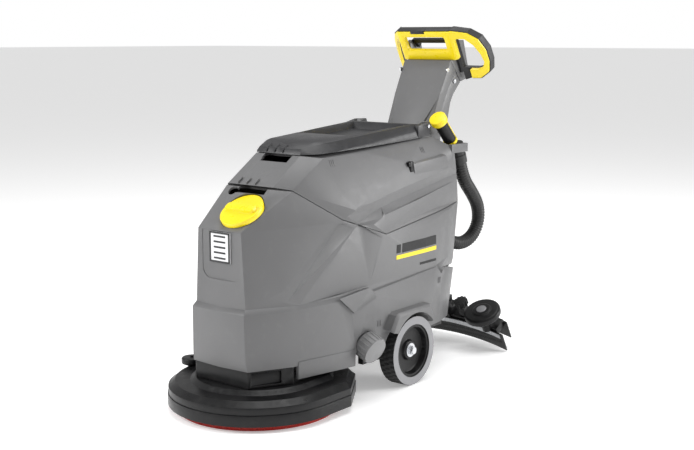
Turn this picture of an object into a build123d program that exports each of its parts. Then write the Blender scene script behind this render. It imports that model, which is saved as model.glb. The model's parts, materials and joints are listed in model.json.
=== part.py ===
from build123d import *
import math
import os

# Walk-behind floor scrubber. Millimetres, +Z up, the front faces -Y, the operator stands at +Y.
# It is drawn with Y = 0 at the wheel axle and saved with Y = 0 at the middle of its length.

# ---- driving dimensions ----
WHEEL_R = 100.0
WHEEL_W = 50.0
WHEEL_X = 200.0  # middle of each wheel
AXLE_R = 10.0
BRUSH_Y = -410.0  # brush spindle, ahead of the axle
PAD_R = 215.0
DECK_R = 240.0
DECK_SIDE = -306.0  # where the straight sides of the deck end
DECK_BACK = -168.0
SKIRT_LOW = 17.0
BAND_HALF = 205.0  # widest half width of the tanks
FLOOR_Z = 139.0  # underside of the tanks
WALL = 5.0
GAP = 1.0  # half of the visible gap between the tanks
FIT = 0.05  # radial running clearance
COLUMN_HALF = 86.0
COLUMN_FOOT_HALF = 58.0  # the column is narrower below the lid
COLUMN_FRONT = 262.0
NOTCH_HALF = 97.0  # opening in the upper tank that the column stands in
NOTCH_FOOT_HALF = 66.0
RING_TILT = math.degrees(math.atan(0.55))
RING_Y, RING_Z = 359.0, 1000.0
LOOP_BEND = 94.0  # half width of the flat middle of the handle
LOOP_SLOPE = 0.83  # how steeply the hand loops sweep back toward the operator
SQUEEGEE_HALF = 252.0
SQUEEGEE_TILT = 29.4  # parked angle
PIVOT_Y, PIVOT_Z = 426.0, 150.0  # squeegee lifting pivot
TANK_PIVOT_Y, TANK_PIVOT_Z = 316.0, 496.0
LID_PIVOT_Y, LID_PIVOT_Z = 190.0, 722.0
HOSE_R = 21.0
MIDDLE_Y = -49.2  # middle of the whole length, seen from the axle

os.makedirs("parts", exist_ok=True)


def save(name, *solids):
    """Write one sub-part, moved so that the middle of the machine's length is at Y = 0."""
    whole = Compound(children=[Pos(0, -MIDDLE_Y, 0) * s for s in solids])
    export_step(whole, f"parts/{name}.step")


def hull(points):
    """Convex body from the points of its +X side, mirrored to -X."""
    return ConvexPolyhedron([(s * x, y, z) for x, y, z in points for s in (1, -1)])


def hull_at(points):
    return ConvexPolyhedron(points)


def wedge(side, points):
    """Cutter with these points as its inner corners, open toward the outside of that side."""
    return hull_at([(side * (x + reach), y, z) for x, y, z in points for reach in (0, 40)])


def block(x0, x1, y0, y1, z0, z1):
    at = Pos((x0 + x1) / 2, (y0 + y1) / 2, (z0 + z1) / 2)
    return at * Box(x1 - x0, y1 - y0, z1 - z0)


def slab(outline, x0, x1):
    """An outline of (y, z) points, made solid from x0 to x1."""
    face = make_face(Polyline([(x0, y, z) for y, z in outline], close=True))
    return extrude(face, amount=x1 - x0, dir=(1, 0, 0))


def rod(start, end, radius):
    line = Vector(*end) - Vector(*start)
    plane = Plane(origin=start, z_dir=line)
    return extrude(plane * Circle(radius), amount=line.length)


def ring(start, end, outer, inner):
    line = Vector(*end) - Vector(*start)
    plane = Plane(origin=start, z_dir=line)
    return extrude(plane * (Circle(outer) - Circle(inner)), amount=line.length)


def turned(profile):
    """Spin (radius, height) points about the Z axis."""
    face = make_face(Polyline([(r, 0, h) for r, h in profile], close=True))
    return revolve(face, axis=Axis.Z)


def shrunk(solid, x, y, z):
    """The solid made smaller about its own middle by so many millimetres on each side."""
    box = solid.bounding_box()
    middle = box.center()
    by = (1 - 2 * x / box.size.X, 1 - 2 * y / box.size.Y, 1 - 2 * z / box.size.Z)
    shift = [m * (1 - b) for m, b in zip(middle, by)]
    return Pos(*shift) * scale(solid, by=by)


# ---- tank envelope ----
PARTING = [(-700, 598), (-430, 598), (-395, 590), (-263, 504), (-105, 448), (305, 490), (420, 502)]
BAND = [
    (98, -550, FLOOR_Z), (0, -557, FLOOR_Z), (155, -440, FLOOR_Z), (200, -235, FLOOR_Z),
    (BAND_HALF, -150, 170), (BAND_HALF, 110, 205), (200, 110, FLOOR_Z + 6), (190, 180, FLOOR_Z + 6),
    (165, 258, FLOOR_Z + 6), (94, -555, 165), (92, -556, 287), (0, -561, 287),
    (152, -428, 285), (188, -300, 290), (BAND_HALF, -185, 296), (202, 140, 318),
    (195, 183, 300), (165, 287, 290), (88, -545, 300), (146, -420, 296), (180, -300, 300),
]
PANEL = [
    (88, -545, 292), (0, -549, 292), (76, -545, 495), (0, -549, 495), (78, -436, 594),
    (116, -396, 588), (146, -418, 292), (180, -300, 292), (197, -185, 300), (197, 150, 310),
    (165, 285, 318), (176, -262, 500), (190, -215, 482), (203, -105, 448), (200, 60, 440),
    (186, 225, 475), (165, 307, 490), (160, 285, 300), (165, 284, 360),
]
UPPER = [
    (80, -430, 598), (78, -320, 671), (116, -395, 590), (135, -337, 581), (150, -244, 601),
    (165, 60, 626), (160, 200, 640), (190, -231, 529), (185, -170, 545), (176, 225, 591),
    (176, -262, 500), (203, -105, 448), (165, 307, 490), (165, 298, 579), (120, -276, 664),
    (130, -108, 669), (130, 157, 688), (130, 225, 688), (130, 259, 665), (150, 305, 650),
]


# Creases pressed into the side walls, as the inner corners of shallow cutters.
SWEPT_FOLD = [
    (152, -401, 296), (188, -225, 478), (174, -282, 323), (178, -239, 441), (179.5, -207, 488),
    (197.8, -172, 316), (199, -145, 423), (200.8, -126, 441),
]
FRONT_FOLD = [
    (122, -475, 311), (167, -290, 496), (134, -434, 310), (152, -352, 401), (171, -267, 494),
    (152, -401, 296), (188, -225, 478),
]
SHOULDER_FRONT = [
    (182, -249, 513), (188.5, -205, 535), (188.5, -150, 541), (181, -212, 486), (187, -178, 505), (181, -100, 520),
    (197, -165, 478), (196, -110, 494),
]
SHOULDER_REAR = [
    (188.5, -150, 541), (182.4, -9, 562), (175.8, 200, 591), (166, 312, 606), (181, -100, 520), (180.5, -15, 539),
    (177.5, 106, 553), (160, 312, 577), (193, -100, 500), (189.6, -15, 522), (185.6, 106, 536), (167, 312, 560),
]
CORNER_FOLD = [(197.5, 141, 322), (195.8, 177, 292), (179.4, 227, 331), (180, 178, 325)]
FOLDS = (SWEPT_FOLD, FRONT_FOLD, SHOULDER_FRONT, SHOULDER_REAR, CORNER_FOLD)
FOLD_WALL = 6.0  # wall behind a crease


def fold_cutters(side, inward):
    """The cutters of one side, moved toward the middle of the machine by so much."""
    return [wedge(side, [(x - inward, y, z) for x, y, z in fold]) for fold in FOLDS]


def band_patch(side):
    """Slightly raised facet on the side of the band, where its upper edge steps down."""
    outline = [(-300, 300), (-246, 252), (-154, 279), (-154, 289), (-184, 312)]
    low = [(side * 196, y, z) for y, z in outline]
    high = [(side * (204.6 if y < -200 else 206.4), y, z) for y, z in outline[1:]]
    return hull_at(low + high)


def above_parting(lift):
    outline = [(y, z + lift) for y, z in PARTING] + [(420, 900), (-700, 900)]
    return slab(outline, -300, 300)


def below_parting(drop):
    outline = [(y, z - drop) for y, z in PARTING] + [(420, 0), (-700, 0)]
    return slab(outline, -300, 300)


def tank_skin():
    return hull(BAND) + hull(PANEL) + hull(UPPER)


def tank_inside():
    """The same three bodies, one wall thickness smaller."""
    return [shrunk(hull(p), WALL, WALL, WALL) for p in (BAND, PANEL, UPPER)]


def column_notch(front):
    """The way through both tanks for the column, wider where the lid is."""
    foot = block(-NOTCH_FOOT_HALF, NOTCH_FOOT_HALF, front, 420, 100, 800)
    return foot + block(-NOTCH_HALF, NOTCH_HALF, front, 420, 640, 800)


def wheel_well(side):
    well = rod((side * 168, 0, WHEEL_R), (side * 260, 0, WHEEL_R), WHEEL_R + 12)
    x0, x1 = sorted((side * 168, side * 260))
    return well + block(x0, x1, -88, 88, 0, WHEEL_R)


def fender(side):
    outline = [(-120, 185), (-96, 222), (-84, 228), (76, 228), (88, 200), (94, 150), (60, 150), (60, 185)]
    outer, top = [], []
    for y, z in outline:
        outer.append((side * 190, y, z))
        outer.append((side * 228, y * 0.96, z - 3))
        top.append((side * 234, y * 0.9, z - 12))
    return hull_at(outer + top)


# ---- lower tank: clean water around a bay for the batteries ----
BAY_HALF, BAY_FRONT, BAY_BACK, BAY_FLOOR = 138.0, -318.0, 244.0, 152.0
MOTOR_WELL_R = 76.0
MOTOR_WELL_TOP = 320.0
FILLER = (32, -493, 541)  # middle of the filler opening
FILLER_TILT = 32.0
FILLER_R = 60.0


def filler_place():
    """A plane on the sloping face of the nose, looking outward."""
    tilt = math.radians(FILLER_TILT)
    return Plane(origin=FILLER, x_dir=(1, 0, 0), z_dir=(0, -math.sin(tilt), math.cos(tilt)))


def fresh_tank():
    skin = tank_skin() & below_parting(GAP)
    for side in (1, -1):
        skin += band_patch(side)
        skin += fender(side)
        skin += side_apron(side)
    skin -= column_notch(COLUMN_FRONT - 6)
    bay = block(-BAY_HALF, BAY_HALF, BAY_FRONT, BAY_BACK, BAY_FLOOR, 700)
    tub = block(-BAY_HALF - WALL, BAY_HALF + WALL, BAY_FRONT - WALL, BAY_BACK + 60, 100, 700)
    motor_well = rod((0, BRUSH_Y, 0), (0, BRUSH_Y, MOTOR_WELL_TOP), MOTOR_WELL_R)
    motor_tub = rod((0, BRUSH_Y, 0), (0, BRUSH_Y, MOTOR_WELL_TOP + WALL), MOTOR_WELL_R + WALL)
    band_in, panel_in, _ = tank_inside()
    water = (band_in + panel_in) & below_parting(GAP + WALL)
    water = water - tub - motor_tub
    for side in (1, -1):
        water -= rod((side * 150, 0, WHEEL_R), (side * 260, 0, WHEEL_R), WHEEL_R + 12 + WALL)
        skin -= wheel_well(side)
        for outer, inner in zip(fold_cutters(side, 0), fold_cutters(side, FOLD_WALL)):
            skin -= outer
            water -= inner
    skin = skin - bay - motor_well - water
    place = filler_place()
    skin -= extrude(place.offset(-40) * Circle(42), amount=70)
    skin -= extrude(place.offset(-8) * Circle(FILLER_R + 2), amount=60)
    skin -= rod((-44, -452, 600), (-44, -440, 560), 14)
    skin -= badge_recess()
    skin -= block(-32, 68, -452, -400, 580, 640)
    skin -= filter_bore()
    for x in (126, -137):
        skin += tank_knuckle(x, x + 11, 296, -9, -7.5)
    return skin


BADGE_FIELD = -544.6  # bottom of the recess that the plate lies in


def badge_recess():
    """Shallow field on the nose, rounded at the bottom."""
    field = Pos(7, 443) * RectangleRounded(136, 152, 30)
    back = Plane(origin=(0, BADGE_FIELD, 0), x_dir=(1, 0, 0), z_dir=(0, -1, 0))
    return extrude(back * field, amount=100) & block(-100, 100, -700, BADGE_FIELD, 360, 494)


def side_apron(side):
    """The tank side that reaches down beside the brush deck."""
    low, high = 104.0, 150.0
    points = []
    for z, out in ((low, 0.0), (high, 1.5)):
        for x, y in ((160 + out, -425), (200 + out, -238), (172, -226), (160, -300), (150.4, -425)):
            points.append((side * x, y, z))
    return hull_at(points)


# ---- water filter at the lower right ----
FILTER = (235.0, -195.0, 141.0)
FILTER_AXIS = Vector(0.91, -0.07, -0.40).normalized()


def along_filter(distance):
    return tuple(Vector(*FILTER) + FILTER_AXIS * distance)


def filter_bore():
    """Pocket for the knob and the bore for its thread."""
    return rod(along_filter(-90), along_filter(20), 33.2) + rod(along_filter(-47), along_filter(30), 41)


def filter_knob():
    body = rod(along_filter(-42), along_filter(0), 37.5)
    plane = Plane(origin=along_filter(-40), z_dir=FILTER_AXIS)
    for spot in PolarLocations(37.5, 18):
        body += extrude(plane * (spot * Circle(2.2)), amount=37)
    body += rod(along_filter(-62), along_filter(-42), 28)
    return body


# ---- upper tank: dirty water, tips back on its rear hinge ----
def recovery_tank():
    skin = tank_skin() & above_parting(GAP)
    skin -= column_notch(150)
    inside = tank_inside()
    hollow = (inside[1] + inside[2]) & above_parting(GAP + WALL)
    hollow -= thick_notch()
    hollow &= block(-300, 300, -700, 300, 0, 664)
    for side in (1, -1):
        for outer, inner in zip(fold_cutters(side, 0), fold_cutters(side, FOLD_WALL)):
            skin -= outer
            hollow -= inner
    skin -= hollow
    skin -= block(-96, 96, -262, 132, 640, 760)
    skin -= block(-46, 34, -345, -296, 660, 690)
    skin -= finger_slot()
    for side in (1, -1):
        skin += hinge_ear(side)
    skin += hose_bracket()
    skin -= rod(nozzle_at(-70), nozzle_at(1), 19.5) + rod(nozzle_at(1), nozzle_at(80), 24)
    for x in (138.5, -148.5):
        skin += tank_knuckle(x, x + 10, 296, 0, 9)
    skin += outlet_boss()
    for x in (-46, -16, 14):
        skin += slab([(-428, 601), (-428, 606), (-410, 617), (-410, 611)], x, x + 3)
    return skin


def thick_notch():
    """The notch with a wall round it."""
    foot = block(-NOTCH_FOOT_HALF - WALL, NOTCH_FOOT_HALF + WALL, 150 - WALL, 420, 400, 800)
    return foot + block(-NOTCH_HALF - WALL, NOTCH_HALF + WALL, 150 - WALL, 420, 635, 800)


def tank_knuckle(x0, x1, root, web_low, web_high):
    """Hinge knuckle behind the rear wall, with its web between two heights seen from the pin."""
    lobe = rod((x0, TANK_PIVOT_Y, TANK_PIVOT_Z), (x1, TANK_PIVOT_Y, TANK_PIVOT_Z), 9)
    web = block(x0, x1, root, TANK_PIVOT_Y, TANK_PIVOT_Z + web_low, TANK_PIVOT_Z + web_high)
    bore = rod((x0 - 1, TANK_PIVOT_Y, TANK_PIVOT_Z), (x1 + 1, TANK_PIVOT_Y, TANK_PIVOT_Z), 5 + FIT)
    return lobe + web - bore


def finger_slot():
    return slab([(-345, 648), (-345, 672), (-300, 672), (-300, 648)], -42, 52)


def hinge_ear(side):
    """Block beside the column that carries one lid pin."""
    x0, x1 = sorted((side * 106, side * 120))
    body = slab([(168, 684), (168, 716), (176, 735), (204, 735), (212, 716), (218, 684)], x0, x1)
    return body - rod((side * 100, LID_PIVOT_Y, LID_PIVOT_Z), (side * 135, LID_PIVOT_Y, LID_PIVOT_Z), 5)


NOZZLE_TOP = Vector(130, 244, 742)
NOZZLE_LOW = Vector(130, 321, 664)
NOZZLE_AXIS = (NOZZLE_LOW - NOZZLE_TOP).normalized()


def nozzle_at(distance):
    """A point on the nozzle's centre line, measured from its lower end toward the cap."""
    return tuple(NOZZLE_LOW - NOZZLE_AXIS * distance)


def hose_bracket():
    """Shelf behind the tank with the hole that the drain hose hangs in."""
    arm = block(104, 156, 285, 372, 636, 662)
    return arm - rod(cuff_at(-40), cuff_at(100), 22.4)


CUFF_TOP = Vector(130, 345, 662)
CUFF_LOW = Vector(130, 368, 600)
CUFF_AXIS = (CUFF_LOW - CUFF_TOP).normalized()


def cuff_at(distance):
    """A point on the upper cuff's centre line, measured down from its top."""
    return tuple(CUFF_TOP + CUFF_AXIS * distance)


# ---- lid ----
def tank_lid():
    outer = hull([
        (78, -322, 669), (120, -278, 668), (132, -108, 672), (134, 165, 692), (75, -310, 688),
        (75, -265, 707), (100, -255, 700), (104, -142, 706), (118, 150, 730), (118, 163, 729),
        (124, -110, 690), (128, 160, 712),
    ])
    outer &= slab([(-340, 672.5), (160, 690.5), (160, 760), (-340, 760)], -200, 200)
    tray = hull([(88, -128, 694), (100, 128, 708), (96, -138, 720), (106, 142, 745)])
    under = hull([
        (70, -290, 665), (80, -160, 665), (80, 120, 665), (60, -270, 692), (70, -165, 694), (85, 120, 684),
    ])
    lid = outer - tray - (under - shrunk(tray, -4, -4, -4))
    lid -= column_notch(150)
    for side in (1, -1):
        x0, x1 = sorted((side * 120.5, side * 134))
        arm = slab([(140, 692), (140, 726), (180, 734), (200, 734), (205, 712), (196, 694)], x0, x1)
        start, end = (side * 100, LID_PIVOT_Y, LID_PIVOT_Z), (side * 140, LID_PIVOT_Y, LID_PIVOT_Z)
        lid += arm - rod(start, end, 5 + FIT)
    for x in (-44, -15, 14):
        lid += slab([(-319, 676), (-319, 682), (-296, 698), (-296, 690)], x, x + 3)
    return lid


def lid_pin(side):
    return rod((side * 104, LID_PIVOT_Y, LID_PIVOT_Z), (side * 137, LID_PIVOT_Y, LID_PIVOT_Z), 5)


# ---- brush deck ----
ROLLER_AT = (-221, -440)


def deck_outline(radius, back):
    """Round front, straight sides, and a rear cut off at an angle on both sides."""
    inset = DECK_R - radius
    half = [(radius, BRUSH_Y), (radius, DECK_SIDE), (166 - inset, back - 24), (122 - inset, back)]
    rear = make_face(Polyline(half + [(-x, y) for x, y in reversed(half)], close=True))
    return Pos(0, BRUSH_Y) * Circle(radius) + rear


def flat(sketch, low, high):
    return extrude(Pos(0, 0, low) * sketch, amount=high - low)


def splash_skirt():
    return flat(deck_outline(DECK_R, DECK_BACK) - deck_outline(DECK_R - 9, DECK_BACK - 9), SKIRT_LOW, 47)


def brush_deck():
    rim = flat(deck_outline(DECK_R - 2, DECK_BACK), 47.2, 66)
    top = loft([
        Pos(0, 0, 66) * deck_outline(DECK_R - 4, DECK_BACK - 2),
        Pos(0, 0, 80) * deck_outline(DECK_R - 20, DECK_BACK - 8),
    ])
    crown = loft([
        Pos(0, 0, 80) * deck_outline(DECK_R - 60, DECK_BACK - 20),
        Pos(0, 0, 92) * deck_outline(DECK_R - 72, DECK_BACK - 26),
    ])
    shell = rim + top + crown
    shell -= flat(deck_outline(DECK_R - 9, DECK_BACK - 9), 40, 60)
    shell += Pos(*ROLLER_AT, 82) * Cylinder(5, 46)
    shell += Pos(*ROLLER_AT, 77) * Cylinder(12, 9)
    return shell - Pos(0, BRUSH_Y, 60) * Cylinder(30, 100)


def deck_turret():
    half = [(94, -547), (152, -437), (148, -424), (148, -262)]
    outline = half + [(-x, y) for x, y in reversed(half)]
    body = flat(make_face(Polyline(outline, close=True)), 92.2, FLOOR_Z - 0.2)
    for side in (1, -1):
        panel = hull_at([
            (side * x, y, z)
            for x, y in ((102, -540), (146, -446), (138, -442), (94, -536))
            for z in (100, 133)
        ])
        body -= panel
    return body - Pos(0, BRUSH_Y, 110) * Cylinder(72, 100)


def brush_drive():
    motor = turned([(0, 140), (62, 140), (62, 262), (50, 276), (20, 282), (0, 282)])
    gearbox = turned([(0, 92.4), (68, 92.4), (68, 130), (60, 139.6), (0, 139.6)])
    gearbox += Pos(0, 0, 70) * Cylinder(29, 45) - Pos(0, 0, 70) * Cylinder(9, 60)
    gearbox -= Pos(0, 0, 80) * Cylinder(9, 60)
    place = Pos(0, BRUSH_Y, 0)
    return place * motor, place * gearbox


def brush_parts():
    """Hub on the spindle, the driver disc, the red pad and the lock that clamps it."""
    hub = Pos(0, 0, 42.4) * Cylinder(34, 4.8) + Pos(0, 0, 70) * Cylinder(9 - FIT, 60)
    driver = turned([(30, 24.2), (PAD_R - 5, 24.2), (PAD_R - 5, 30), (60, 40), (30, 40)])
    driver += Pos(0, 0, 36) * (Cylinder(32, 8))
    pad = Pos(0, 0, 12) * (Cylinder(PAD_R, 24) - Cylinder(46, 30))
    lock = Pos(0, 0, 18) * Cylinder(45, 12) + Pos(0, 0, 27) * Cylinder(29.8, 10)
    place = Pos(0, BRUSH_Y, 0)
    return [place * s for s in (hub, driver, pad, lock)]


def deck_roller():
    """Guard roller that keeps the deck off walls."""
    wheel = turned([(5 + FIT, 82), (26, 82), (29, 85), (29, 98), (26, 101), (5 + FIT, 101)])
    return Pos(*ROLLER_AT, 0) * wheel


# ---- chassis ----
LEVER_AT = (364, 166)  # pivot of the foot pedal


def chassis_frame():
    plate = block(-149, 149, -261.8, 250, 118, FLOOR_Z - 0.2)
    plate -= block(-120, 120, -190, 190, 100, 134)
    for side in (1, -1):
        x0, x1 = sorted((side * 148, side * 165))
        top = FLOOR_Z - 0.2
        cheek = slab([(-160, 84), (-160, top), (110, top), (110, 124), (30, 78), (-30, 78), (-100, 84)], x0, x1)
        cheek -= rod((side * 140, 0, WHEEL_R), (side * 170, 0, WHEEL_R), AXLE_R)
        plate += cheek
    plate += block(-80, 80, 240, 376, 118, FLOOR_Z - 0.2)
    plate += lever_bracket()
    for side in (1, -1):
        x0, x1 = sorted((side * 52, side * 64))
        arm = slab([(360, 118), (360, 138.8), (412, 164), (438, 164), (440, 138), (400, 118)], x0, x1)
        plate += arm - rod((side * 40, PIVOT_Y, PIVOT_Z), (side * 70, PIVOT_Y, PIVOT_Z), 6 + FIT)
    return plate


def lever_bracket():
    lugs = block(-37, -33, 354, 374, 130, 178) + block(-7, -3, 354, 374, 130, 178)
    return lugs + rod((-37, *LEVER_AT), (-3, *LEVER_AT), 5)


def axle():
    return rod((-226, 0, WHEEL_R), (226, 0, WHEEL_R), AXLE_R)


def wheel(side):
    """Rim and tyre, turned about the axle, for the right (1) or left (-1) side."""
    half = WHEEL_W / 2
    rim = turned([
        (AXLE_R + FIT, -half + 4), (24, -half + 4), (24, -4), (66, -4), (68, -half + 1), (75, -half + 1),
        (75, half - 3), (68, half - 3), (65, 4), (30, 2), (26, half - 14), (AXLE_R + FIT, half - 14),
    ])
    tyre = turned([
        (75.1, -half + 1), (80, -half), (94, -half), (WHEEL_R, -half + 6), (WHEEL_R, half - 6),
        (94, half), (80, half), (75.1, half - 3),
    ])
    place = Pos(side * WHEEL_X, 0, WHEEL_R) * Rot(0, side * 90, 0)
    return place * rim, place * tyre


def wheel_bolt(side):
    cap = rod((side * 211.5, 0, WHEEL_R), (side * 214, 0, WHEEL_R), 20)
    bolt = Plane(origin=(side * 214, 0, WHEEL_R), z_dir=(side, 0, 0)) * RegularPolygon(13, 6)
    solid = cap + extrude(bolt, amount=8)
    return solid - rod((side * 200, 0, WHEEL_R), (side * 226.2, 0, WHEEL_R), AXLE_R + 0.02)


# ---- batteries ----
BATTERY_TOP = 362.0
LEAD_R = 4.8


def batteries():
    boxes = []
    for y in (-230, -52):
        box = block(-130, 130, y - 84, y + 84, BAY_FLOOR, BATTERY_TOP)
        lid = block(-126, 126, y - 80, y + 80, BATTERY_TOP, BATTERY_TOP + 6)
        posts = [Pos(x, y + 60, BATTERY_TOP + 12) * Cylinder(9, 14) for x in (-95, 95)]
        boxes.append(box + lid + posts[0] + posts[1])
    return boxes


def battery_leads():
    """The link between the two blocks and the two leads to the column, each with its terminals."""
    z = BATTERY_TOP + 24
    leads = [rod((-95, -182, z + 0.2), (-95, 20, z + 0.2), LEAD_R)]
    for x, y in ((-95, -170), (-95, 8), (95, -170), (95, 8)):
        leads.append(Pos(x, y, z - 2.4) * Cylinder(11, 4.6))
    joined = leads[0] + leads[1] + leads[2]
    right = leads[3] + rod((95, -170, z), (60, -80, z + 20), LEAD_R) + rod((60, -80, z + 20), (40, 232, z + 20), LEAD_R)
    left = leads[4] + rod((95, 8, z), (70, 60, z + 8), LEAD_R) + rod((70, 60, z + 8), (56, 232, z + 8), LEAD_R)
    return [joined, right, left]


def suction_turbine():
    case = turned([(26, 0), (66, 0), (66, 62), (30, 62), (30, 60), (60, 60), (60, 12), (26, 12)])
    motor = Pos(0, 0, 106) * Cylinder(44, 88)
    place = Pos(0, 140, BAY_FLOOR + 30)
    foot = block(-50, 50, 90, 190, BAY_FLOOR, BAY_FLOOR + 30)
    return place * (case + motor) + foot


def fan_impeller():
    disc = Pos(0, 0, 20) * Cylinder(52, 3)
    for turn in range(9):
        disc += Rot(0, 0, turn * 40) * Pos(33, 0, 32) * Rot(0, 0, 25) * Box(34, 2, 22)
    disc += Pos(0, 0, 30) * Cylinder(8, 24)
    return Pos(0, 140, BAY_FLOOR + 30) * disc


def water_feed():
    """Filter cup, shut-off valve and the pipe down to the brush deck."""
    cup = ring(along_filter(-80), along_filter(-64), 33, 29)
    cup += rod(along_filter(-84), along_filter(-80), 33)
    valve = block(100, 140, -252, -222, 96, 117.8)
    return [cup, valve + rod((120, -250, 106), (120, -261.8, 106), 6)]


# ---- column and handle ----
COLUMN_SIDE = [
    (262, 140.2), (262, 700), (281, 737), (297, 764), (323, 809), (360, 878), (376, 910),
    (434, 843), (397, 806), (383, 782), (374, 745), (370, 700), (360, 480), (345, 140.2),
]
COLUMN_TAPER = 5.0
COLUMN_SPLIT = [(312, 140), (316, 700), (330, 745), (346, 785), (372, 830), (405, 877), (520, 990), (520, 140)]


def column_body(half, foot_half, side):
    """Wide at the top, narrower toward the lid, and narrowest between the tank's rear corners."""
    low = half - COLUMN_TAPER
    front = make_face(Polyline([(-low, 0, 690), (low, 0, 690), (half, 0, 880), (half, 0, 1000),
                                (-half, 0, 1000), (-half, 0, 880)], close=True))
    upper = slab(side, -half, half) & extrude(front, amount=600, dir=(0, 1, 0))
    for turn in (1, -1):
        facet = [(low - 34, 262.5, 688), (low - 34, 262.5, 700), (low + 6, 269.5, 688), (low + 6, 269.5, 700)]
        facet.append((half + 1, 325, 812))
        upper -= hull_at([(turn * x, y - reach, z) for x, y, z in facet for reach in (0, 60)])
    foot = slab(side, -foot_half, foot_half) & block(-foot_half, foot_half, 0, 600, 100, 700)
    return upper + foot


def column():
    outer = column_body(COLUMN_HALF, COLUMN_FOOT_HALF, COLUMN_SIDE)
    inner = column_body(COLUMN_HALF - 4, COLUMN_FOOT_HALF - 4, [
        (266, 120), (266, 699), (285, 736), (327, 809), (372, 888), (382, 930), (440, 860), (430, 845),
        (394, 810), (378, 782), (370, 745), (365, 700), (355, 480), (341, 120),
    ])
    throat = block(-54, 54, 0, 600, 600, 800)
    inner &= block(-200, 200, 0, 600, 100, 686) + block(-200, 200, 0, 600, 694, 1000) + throat
    shell = outer - inner
    split = slab(COLUMN_SPLIT, -200, 200)
    return shell - split, shell & split


def column_post():
    """Square steel tube from the chassis to the head, bent where the column leans back."""
    low = block(-25, 25, 296, 336, 140.2, 712)
    high = slab([(296, 712), (336, 712), (404, 838), (372, 862)], -25, 25)
    return low + high - block(-22, 22, 299, 333, 160, 700)


BAIL_PIVOT = (-70, 38)  # height and depth on the handle plane


def ring_plane():
    """u along X, v up the handle, w toward the operator."""
    tilt = math.radians(RING_TILT)
    return Plane(origin=(0, RING_Y, RING_Z), x_dir=(-1, 0, 0), z_dir=(0, math.cos(tilt), math.sin(tilt)))


def on_ring(u, v, w):
    return tuple(ring_plane().from_local_coords(Vector(u, v, w)))


def loop_face(right_half, radii):
    """Closed outline mirrored left-right, with its corners rounded."""
    left_half = [(-u, v) for u, v in reversed(right_half)]
    outline = make_face(Polyline(right_half + left_half, close=True))
    return fillet(outline.vertices(), radii)


def bent_plate(front, back):
    """A plate across the handle whose outer parts bend back toward the operator."""
    low, out = -200, 120
    swept = LOOP_SLOPE * out
    far = LOOP_BEND + out
    outline = [(-far, front + swept), (-LOOP_BEND, front), (LOOP_BEND, front), (far, front + swept),
               (far, back + swept), (LOOP_BEND, back), (-LOOP_BEND, back), (-far, back + swept)]
    face = make_face(Polyline([on_ring(u, low, w) for u, w in outline], close=True))
    return extrude(face, amount=300, dir=ring_plane().y_dir)


def bent(face, front, back):
    """The part of the bent plate inside an outline."""
    return extrude(ring_plane().offset(-30) * face, amount=140) & bent_plate(front, back)


def side_opening(side):
    outline = make_face(Polyline([(side * u, v) for u, v in LOOP_OPENING], close=True))
    return fillet(outline.vertices(), 7)


LOOP_OPENING = [
    (101, -25), (126, -37), (142, -65), (153, -101), (157, -129), (151, -148), (136, -148.5), (101, -131),
]
RING_OUTLINE = [
    (98, 2.2), (134, -21.3), (156, -52.4), (167, -93.4), (168, -133.9), (162, -166.1), (140, -178), (122, -170),
]
LIP_OUTLINE = [
    (98, 2.6), (134.2, -20.9), (156.4, -52.2), (167.4, -93.3), (168.4, -134), (162.3, -166.3), (140.2, -178.4),
    (122, -170.4),
]
GRIP_OUTLINE = [
    (99, 5.4), (135.5, -18.5), (158.4, -50.5), (170, -93), (171, -135), (165, -168.5), (141, -181.5), (122, -173),
]
RING_T = 14.0
LIP_T = 11.0


def handle_ring():
    outer = loop_face(RING_OUTLINE, 6)
    holes = side_opening(1) + side_opening(-1)
    window = Pos(0, -39) * RectangleRounded(148, 46, 8)
    low = Pos(0, -150) * Rectangle(240, 112)
    ring_solid = bent(outer - holes - window - low, -RING_T, -0.2)
    return ring_solid - grip_notch()


def grip_notch():
    """Gap in the top bar that the grip fills."""
    place = ring_plane()
    return extrude(place.offset(-RING_T - 1) * (Pos(20, 1) * Rectangle(52, 12)), amount=RING_T + 1)


def handle_grip():
    outer = loop_face(GRIP_OUTLINE, 6)
    holes = side_opening(1) + side_opening(-1)
    middle = Pos(0, -96) * Rectangle(174, 148)
    low = Pos(0, -160) * Rectangle(196, 30)
    back = bent(outer - holes - middle - low, 0, RING_T)
    lip = bent(outer - loop_face(LIP_OUTLINE, 6) - Pos(0, -150) * Rectangle(240, 60), -LIP_T, 0)
    tongue = extrude(ring_plane().offset(-RING_T) * (Pos(20, 1.2) * Rectangle(51, 11.6)), amount=RING_T)
    return back + lip + tongue


HEAD_LOW = [(377.5, 910.2), (436, 845), (486, 858)]
HEAD_FRONT = [(405.4, 917), (392, 910.2)]


def handle_head():
    """Casing on top of the column: a hollow middle and two cheeks beside the operator's panel."""
    case = slab(HEAD_LOW + [(475, 893), (414, 922)] + HEAD_FRONT, -76, 76)
    case -= slab([(402, 906), (440, 860), (474, 868), (467, 888), (412, 914)], -70, 70)
    for side in (1, -1):
        x0, x1 = sorted((side * 76, side * 86))
        case += slab(HEAD_LOW + [(447, 972), (396, 972), (388, 962)] + HEAD_FRONT, x0, x1)
    case -= rod(on_ring(-90, *BAIL_PIVOT), on_ring(90, *BAIL_PIVOT), 4 + FIT)
    place = panel_plane()
    case -= extrude(place.offset(-10) * Pos(-36, 0) * Circle(5), amount=20)
    return case - extrude(place.offset(-10) * Pos(20, 0) * Circle(10), amount=20)


def panel_plane():
    """The sloping top of the casing, between the cheeks, facing up and toward the operator."""
    low, high = Vector(0, 475, 893), Vector(0, 414, 922)
    up = (high - low).normalized()
    return Plane(origin=tuple((low + high) / 2), x_dir=(-1, 0, 0), z_dir=(0, up.Z, -up.Y))


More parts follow.
